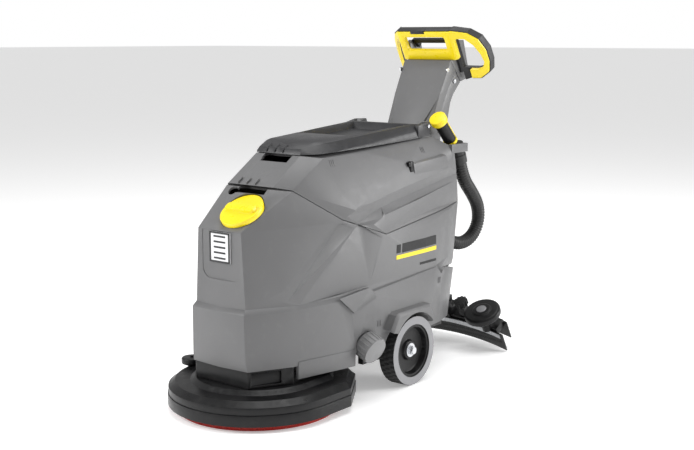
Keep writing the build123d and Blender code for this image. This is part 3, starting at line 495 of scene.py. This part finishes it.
def film_bar(name, node, side, y0, y1, z0, z1, slot):
    bar = begin(name, bpy.ops.mesh.primitive_plane_add, size=1, rotation=(0, math.pi / 2, 0))
    for corner in bar.data.vertices:
        corner.co = (side * BESIDE, y0 if corner.co.y < 0 else y1, z0 if corner.co.z < 0 else z1)
    bpy.ops.object.mode_set(mode="EDIT")
    bpy.ops.mesh.select_all(action="SELECT")
    bpy.ops.mesh.subdivide(number_cuts=FILM_CUTS)
    bpy.ops.object.mode_set(mode="OBJECT")
    lay = bar.modifiers.new("lay", "SHRINKWRAP")
    lay.target, lay.wrap_method, lay.use_project_x = skins[node], "PROJECT", True
    lay.use_negative_direction, lay.use_positive_direction, lay.offset = True, True, FILM
    bpy.ops.object.modifier_apply(modifier=lay.name)
    thick = bar.modifiers.new("thick", "SOLIDIFY")
    thick.thickness, thick.offset = FILM, 0
    bpy.ops.object.modifier_apply(modifier=thick.name)
    bpy.ops.object.mode_set(mode="EDIT")
    bpy.ops.mesh.select_all(action="SELECT")
    bpy.ops.mesh.normals_make_consistent(inside=False)
    bpy.ops.object.mode_set(mode="OBJECT")
    placed(bar, node, slot)
    return bar


FILM_BARS = [  # name, from front to back, from low to high, finish
    ("dark_bar", 0.022, 0.198, 0.385, 0.411, "black_plastic"),
    ("dark_square", -0.005, 0.014, 0.386, 0.410, "black_plastic"),
    ("yellow_bar", -0.005, 0.198, 0.3685, 0.380, "yellow_plastic"),
    ("short_bar", 0.112, 0.196, 0.336, 0.343, "black_plastic"),
]
SIDES = ((1, "right"), (-1, "left"))
for side, word in SIDES:
    for label, *places, slot in FILM_BARS:
        film_bar(word + "_" + label, "fresh_tank", side, *places, slot)
print("bars laid on both flanks")

# %% [markdown]
# ## The badge
# A pale plate sits in a recess at the front. It gets a dark rim and five plain ribs, cut from cubes with
# rounded edges, because a flat plate alone would look unfinished from close by.

# %% Rim and ribs of the badge
RIM_LAP = 0.7  # how far the side bars stop short of the corners
PLATE_LOW, PLATE_HIGH, PLATE_FACE = Vector((-0.032, 0, 0.412)), Vector((0.039, 0, 0.491)), -0.4993
RIM, RIM_DEPTH = 0.0045, 0.0016


def block(name, low, high, round_by=0.0004):
    low, high = Vector(low), Vector(high)
    cube = begin(name, bpy.ops.mesh.primitive_cube_add, size=1, location=(low + high) / 2, scale=high - low)
    bpy.ops.object.mode_set(mode="EDIT")
    bpy.ops.mesh.select_all(action="SELECT")
    bpy.ops.mesh.bevel(offset=round_by, segments=2)
    bpy.ops.object.mode_set(mode="OBJECT")
    bpy.ops.object.shade_smooth_by_angle(angle=math.radians(35))
    return cube


rim_back, rim_front = PLATE_FACE + 0.0006, PLATE_FACE - RIM_DEPTH
low, high, lap = PLATE_LOW, PLATE_HIGH, RIM * RIM_LAP
rim = joined("badge_rim", [
    block("rim_top", (low.x, rim_front, high.z - RIM), (high.x, rim_back, high.z)),
    block("rim_foot", (low.x, rim_front, low.z), (high.x, rim_back, low.z + RIM)),
    block("rim_left", (low.x, rim_front, low.z + lap), (low.x + RIM, rim_back, high.z - lap)),
    block("rim_right", (high.x - RIM, rim_front, low.z + lap), (high.x, rim_back, high.z - lap)),
])
placed(rim, "badge_plate", "painted_steel")
RIBS, RIB_H, RIB_INSET = 5, 0.0048, 0.015
RIB_FRONT, RIB_BACK = PLATE_FACE - 0.0009, PLATE_FACE + 0.0004
gap = (high.z - low.z - 2 * RIM) / RIBS
rib_heights = [low.z + RIM + gap * (k + 0.5) for k in range(RIBS)]
ribs = joined("badge_ribs", [
    block("rib", (low.x + RIB_INSET, RIB_FRONT, middle - RIB_H / 2),
          (high.x - RIB_INSET, RIB_BACK, middle + RIB_H / 2)) for middle in rib_heights])
placed(ribs, "badge_plate", "painted_steel")
print("badge:", len(rim.data.polygons) + len(ribs.data.polygons), "faces")

# %% [markdown]
# ## Small raised marks
# The tanks carry little groups of three raised bars. Each bar is a cube with soft edges, turned to lie on
# the wall where it stands, and its place is found by a straight look at the wall from the side.

# %% Stand the bars on the walls
BAR_H, BAR_W, BAR_DEEP, BAR_STEP = 0.017, 0.0030, 0.0012, 0.0068
ASIDE = 0.4  # well outside the machine
UPRIGHT = Vector((0, 0, 1))


walls = {}


def wall_at(node, start, way):
    """Where a straight look from start first meets the measured wall, and which way the wall faces."""
    if node not in walls:
        mesh = nodes[node].data
        corners, faces = [v.co for v in mesh.vertices], [tuple(f.vertices) for f in mesh.polygons]
        walls[node] = BVHTree.FromPolygons(corners, faces)
    return walls[node].ray_cast(Vector(start), Vector(way))[:2]


def seated(piece, at, normal, up):
    """Turn a piece made round the origin so that its X points out of the wall, and take it there."""
    side_way = up.cross(normal).normalized()
    true_up = normal.cross(side_way).normalized()
    turn = Matrix((normal, side_way, true_up)).transposed().to_4x4()
    piece.data.transform(Matrix.Translation(at) @ turn)
    piece.data.update()


def mark(name, node, side, y, z):
    bars = []
    for k in (-1, 0, 1):
        bar = block("mark_bar", (-BAR_DEEP, -BAR_W / 2, -BAR_H / 2), (BAR_DEEP, BAR_W / 2, BAR_H / 2))
        at, normal = wall_at(node, (side * ASIDE, y + k * BAR_STEP, z), (-side, 0, 0))
        seated(bar, at, normal, UPRIGHT)
        bars.append(bar)
    placed(joined(name, bars), node, SLOT_OF[node])


MARKS = [  # name, tank, place along it, height
    ("front", "recovery_tank", -0.200, 0.6505), ("rear", "recovery_tank", 0.190, 0.657),
    ("low", "fresh_tank", -0.090, 0.205), ("back", "fresh_tank", 0.213, 0.275),
]
for side, word in SIDES:
    for label, node, y, z in MARKS:
        mark(word + "_" + label + "_mark", node, side, y, z)
print(len(MARKS) * 2, "marks")

# %% [markdown]
# ## Squeegee
# The rubber blade that dries the floor has two rows of short ribs along its face. A pattern would not
# stand out from the rubber, so each rib is a small block, seated where a straight look meets the blade.

# %% Ribs of the blade
BLADE_RIBS, BLADE_REACH = 56, 0.236
RIB_ROWS = (0.030, 0.045)  # heights of the two rows
RIB_HALF, RIB_ROUND = Vector((0.0010, 0.0020, 0.0045)), 0.0005
rib_row = []
for k in range(BLADE_RIBS):
    x = -BLADE_REACH + 2 * BLADE_REACH * k / (BLADE_RIBS - 1)
    for z in RIB_ROWS:
        at, normal = wall_at("front_blade", (x, 0.2, z), (0, 1, 0))
        if at:
            rib = block("blade_rib", -RIB_HALF, RIB_HALF, RIB_ROUND)
            seated(rib, at, normal, UPRIGHT)
            rib_row.append(rib)
placed(joined("blade_ribs", rib_row), "front_blade", "rubber")
print("blade ribs:", len(rib_row))


# %% [markdown]
# Each guide roller turns about a leaning pin, and a pale cap hides the pin's end. The cap could be placed
# by eye, but the joint already says where the pin is and which way it leans.

# %% Caps of the guide rollers
JOINTS = {row["name"]: row for row in frame["record"]["behaviour"]["joints"]}


def cap_on(name, node, joint, radius, depth, slot):
    """A low round cap with a soft edge on the far end of a turning piece."""
    at, along = Vector(JOINTS[joint]["pos_m"]), Vector(JOINTS[joint]["axis"]).normalized()
    reach = max((v.co - at).dot(along) for v in nodes[node].data.vertices)
    turn = along.to_track_quat("Z", "Y").to_euler()
    cap = begin(name, bpy.ops.mesh.primitive_cylinder_add, vertices=40, radius=radius, depth=depth,
                location=at + along * reach, rotation=turn)
    edge = cap.modifiers.new("soft", "BEVEL")
    edge.width, edge.segments, edge.limit_method, edge.angle_limit = depth * 0.3, 2, "ANGLE", math.radians(40)
    bpy.ops.object.modifier_apply(modifier=edge.name)
    bpy.ops.object.shade_smooth_by_angle(angle=math.radians(35))
    return placed(cap, node, slot)


CAP_R, CAP_H = 0.016, 0.005
for side, word in SIDES:
    cap = cap_on(word + "_roller_cap", word + "_roller", word + "_guide_spin", CAP_R, CAP_H, "gray_shell")
    paint(cap, "tyre_side")
paint(skins["filter_knob"], "gray_knob")
print("caps set on both guide rollers")

# %% [markdown]
# ## Rail clips
# A small dark clip closes the front end of the rail on each flank. It could be one block, but a lower
# plate and a nose that stands forward of it give the hook-like outline of the real one.

# %% Clip at the front end of each accessory rail
CLIP_INNER, CLIP_OUTER, CLIP_ROUND = 0.160, 0.1735, 0.0015
for side, word in SIDES:
    low, high = sorted((side * CLIP_INNER, side * CLIP_OUTER))
    clip = joined(word + "_rail_clip", [
        block("clip_plate", (low, 0.098, 0.602), (high, 0.112, 0.632), CLIP_ROUND),
        block("clip_nose", (low, 0.090, 0.618), (high, 0.100, 0.630), CLIP_ROUND)])
    placed(clip, "accessory_rails", "black_plastic")
print("clips on both rails")

# %% [markdown]
# ## The studio
# A pale floor runs far behind the machine, and three soft lamps light it: one in front on the left, one
# behind on the right that brightens the column's side, and a broad one overhead. The room itself is dim
# but looks white. The plain colour view is used, because a filmic one makes whites and yellows dull.

# %% Lay the floor
FLOOR_SIZE = 200
bpy.ops.object.select_all(action="DESELECT")
bpy.ops.mesh.primitive_plane_add(size=FLOOR_SIZE, location=(0, 0, 0))
floor = bpy.context.object
floor.name = "studio_floor"
ground = bpy.data.materials.new("studio_floor")
ground.use_nodes = True
FLOOR_LOOK = {"Base Color": (0.92, 0.92, 0.92, 1), "Roughness": 0.75, "Emission Color": (1, 1, 1, 1),
              "Emission Strength": 0.30}
for socket, value in FLOOR_LOOK.items():
    ground.node_tree.nodes["Principled BSDF"].inputs[socket].default_value = value
floor.data.materials.append(ground)
print("floor:", FLOOR_SIZE, "m across")

# %% [markdown]
# Area lamps are used because small lamps would throw hard shadows. All three look at the machine's middle.

# %% Hang the lamps
MACHINE_MIDDLE = Vector((0, 0, 0.5))


def lamp(name, at, size, power):
    data = bpy.data.lights.new(name, "AREA")
    data.shape = "SQUARE"
    data.size = size
    data.energy = power
    holder = bpy.data.objects.new(name, data)
    bpy.context.scene.collection.objects.link(holder)
    holder.location = at
    holder.rotation_euler = (MACHINE_MIDDLE - Vector(at)).to_track_quat("-Z", "Y").to_euler()


LAMPS = [  # name, place, width, power
    ("front_lamp", (-1.8, -3.2, 2.4), 1.8, 115),
    ("rear_lamp", (3.6, 2.6, 1.6), 2.0, 130),
    ("top_lamp", (0.2, 0.4, 4.0), 3.0, 95),
]
for name, at, size, power in LAMPS:
    lamp(name, at, size, power)
print(len(LAMPS), "lamps")

# %% [markdown]
# The world lights the machine softly from all round. It is seen as white, while its light stays low, so
# that the lamps still shape the tanks.

# %% Light the room
ROOM_LIGHT, ROOM_SEEN = 0.48, 1.0
sky = bpy.data.worlds.new("studio")
sky.use_nodes = True
room = sky.node_tree.nodes["Background"]
room.inputs["Color"].default_value = (1, 1, 1, 1)
seen = sky.node_tree.nodes.new("ShaderNodeLightPath").outputs["Is Camera Ray"]
sky.node_tree.links.new(mapped(sky.node_tree, seen, 0.0, 1.0, ROOM_LIGHT, ROOM_SEEN), room.inputs["Strength"])
bpy.context.scene.world = sky
bpy.context.scene.view_settings.view_transform = "Standard"
print("room light:", ROOM_LIGHT)
